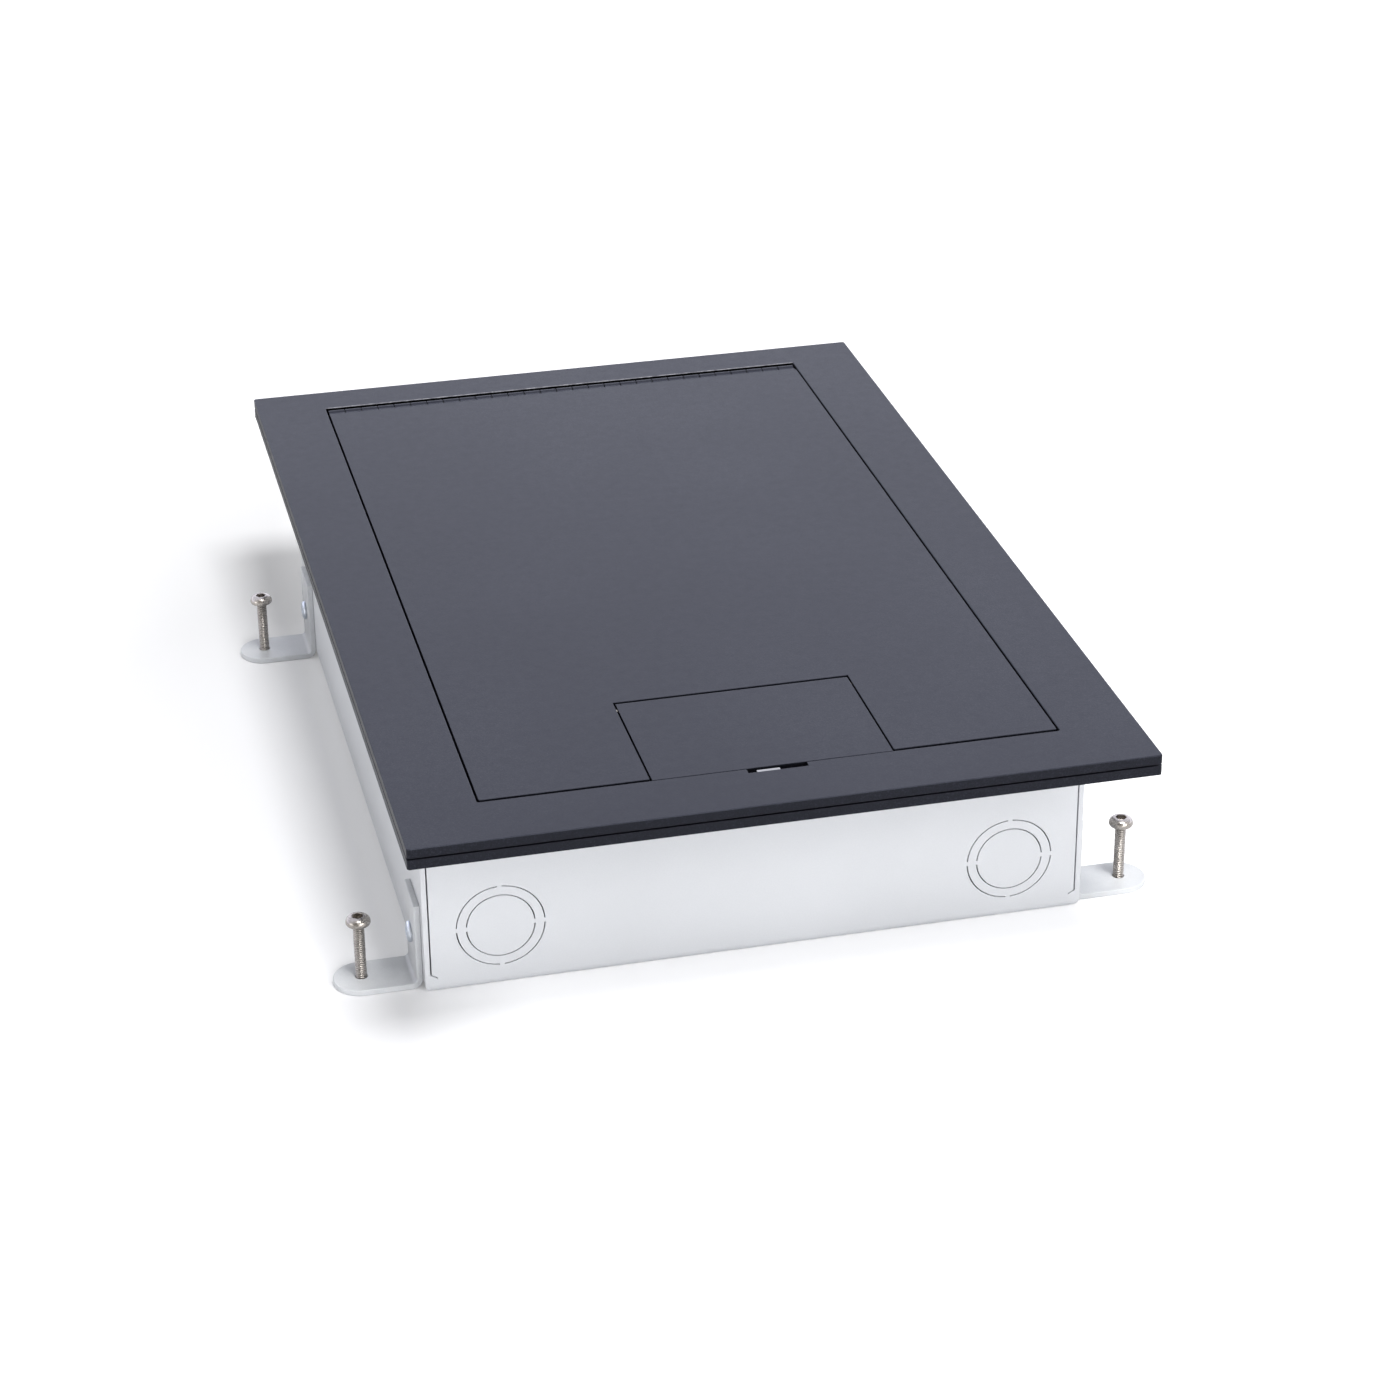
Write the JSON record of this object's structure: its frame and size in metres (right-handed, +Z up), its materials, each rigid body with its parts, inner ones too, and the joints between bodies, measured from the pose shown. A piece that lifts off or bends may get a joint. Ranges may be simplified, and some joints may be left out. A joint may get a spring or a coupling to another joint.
{
  "type": "floor socket box",
  "caption": "Shallow floor box with a flat hinged lid, a cable flap, a slide latch, levelling feet, conduit knockouts and power and data outlets inside.",
  "frame": {"origin": "on the floor, under the middle of the cover", "axes": "+Z up, +Y towards the hinge, -Y towards the cable flap, +X to the right seen from the flap side"},
  "size_m": [0.2708, 0.3606, 0.0769],
  "materials": {
    "box_paint": "pale grey powder coat, satin",
    "cover_paint": "dark grey powder coat with a fine texture",
    "hinge_steel": "steel hinge, dulled",
    "bright_steel": "bright zinc-plated steel",
    "stainless": "stainless steel screws",
    "rubber": "soft black gasket rubber",
    "inner_steel": "galvanised sheet",
    "moulding": "moulded receptacle body",
    "moulding_pale": "moulded receptacle base",
    "jack_plastic": "moulded data jack",
    "brass": "contact brass",
    "green_screw": "green grounding screw"
  },
  "bodies": {
    "box": {"box_body": "box_paint", "support_plate": "cover_paint", "cover_gasket": "rubber", "trim_plate": "cover_paint", "lid_seal": "rubber", "cover_screws": "bright_steel", "trim_screws": "bright_steel", "hinge_frame_leaf": "cover_paint", "hinge_pin": "hinge_steel", "hinge_frame_rivets": "hinge_steel", "foot_screws": "bright_steel", "foot_nuts": "bright_steel", "device_bracket": "inner_steel", "stud_nuts": "bright_steel", "wiring_divider": "inner_steel", "rear_angle": "inner_steel", "compartment_cover": "inner_steel", "compartment_screws": "bright_steel", "ground_screw": "green_screw", "power_plate": "inner_steel", "data_plate": "inner_steel", "plate_screws": "bright_steel", "receptacle_front": "moulding", "receptacle_base": "moulding_pale", "receptacle_strap": "bright_steel", "strap_screws": "bright_steel", "receptacle_contacts": "brass", "terminal_screws": "brass", "ground_terminal": "green_screw", "data_jacks": "jack_plastic", "jack_wires": "brass", "leveling_foot_front_left": "box_paint", "leveling_foot_front_right": "box_paint", "leveling_foot_back_left": "box_paint", "leveling_foot_back_right": "box_paint"},
    "lid": {"lid_plate": "cover_paint", "hinge_lid_leaf": "cover_paint", "hinge_lid_rivets": "hinge_steel"},
    "flap": {"cable_flap": "cover_paint", "flap_hook": "bright_steel", "flap_pivot_pins": "bright_steel"},
    "latch": {"latch_slider": "bright_steel"},
    "leveling_screw_front_left": {"leveling_screw_front_left": "stainless"},
    "leveling_screw_front_right": {"leveling_screw_front_right": "stainless"},
    "leveling_screw_back_left": {"leveling_screw_back_left": "stainless"},
    "leveling_screw_back_right": {"leveling_screw_back_right": "stainless"}
  },
  "joints": [
    {"name": "lid_hinge", "type": "hinge", "parent": "box", "child": "lid", "pos_m": [0, 0.16115, 0.07472], "axis": [-1, 0, 0], "range_deg": [0, 105]},
    {"name": "flap_hinge", "type": "hinge", "parent": "lid", "child": "flap", "pos_m": [0, -0.10685, 0.07531], "axis": [-1, 0, 0], "range_deg": [0, 120]},
    {"name": "latch_slide", "type": "slide", "parent": "box", "child": "latch", "axis": [1, 0, 0], "range_m": [-0.0025, 0.008]},
    {"name": "leveling_front_left", "type": "slide", "parent": "box", "child": "leveling_screw_front_left", "axis": [0, 0, -1], "range_m": [0, 0.018]},
    {"name": "leveling_front_right", "type": "slide", "parent": "box", "child": "leveling_screw_front_right", "axis": [0, 0, -1], "range_m": [0, 0.018]},
    {"name": "leveling_back_left", "type": "slide", "parent": "box", "child": "leveling_screw_back_left", "axis": [0, 0, -1], "range_m": [0, 0.018]},
    {"name": "leveling_back_right", "type": "slide", "parent": "box", "child": "leveling_screw_back_right", "axis": [0, 0, -1], "range_m": [0, 0.018]}
  ]
}
